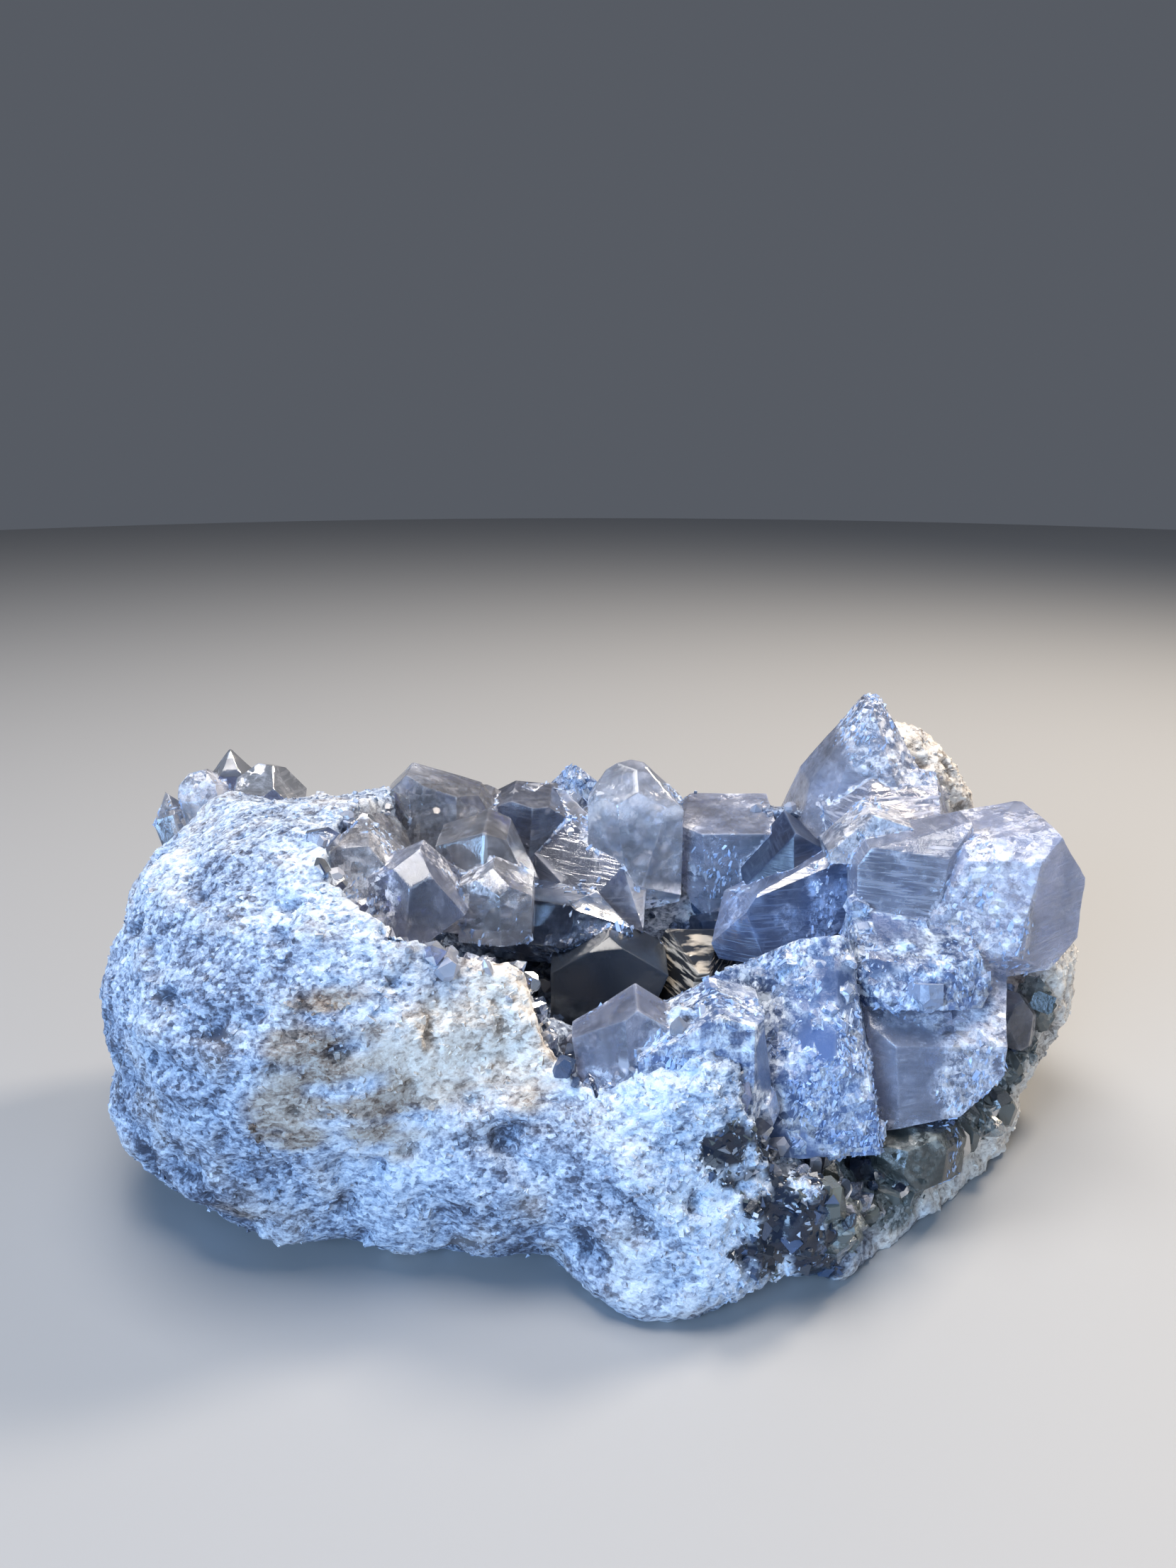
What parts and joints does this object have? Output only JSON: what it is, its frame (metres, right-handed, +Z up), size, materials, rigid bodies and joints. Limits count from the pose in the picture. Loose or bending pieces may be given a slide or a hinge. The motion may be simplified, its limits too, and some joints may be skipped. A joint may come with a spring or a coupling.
{
  "type": "celestite cluster",
  "caption": "Broken geode bowl of pale granular rock, its hollow lined with blocky clear to grey-blue crystals; the broken side shows them from the rim to the base.",
  "frame": {"origin": "on the resting plane, under the middle of the cluster's outline seen from above", "axes": "+X along the cluster's length from the rock dome to the broken crystal side, +Z up, -Y toward the side where the front wall dips and the hollow shows"},
  "size_m": [0.1938, 0.1117, 0.0821],
  "materials": {
    "pale_rock": "rough granular rock, blue-white with grey specks and tan stains",
    "deep_crystal": "clear to dark grey-blue crystal, glossy faces with frosted patches",
    "blue_crystal": "clear grey-blue crystal with white frosting and inner veils",
    "frosted_crystal": "frosted lavender-white crystal",
    "clear_crystal": "small clear crystals"
  },
  "bodies": {
    "root": {"matrix_rock": "pale_rock", "hollow_crust": "deep_crystal", "right_crystals": "blue_crystal", "front_crystals": "frosted_crystal", "rear_crystals": "clear_crystal"}
  },
  "joints": []
}
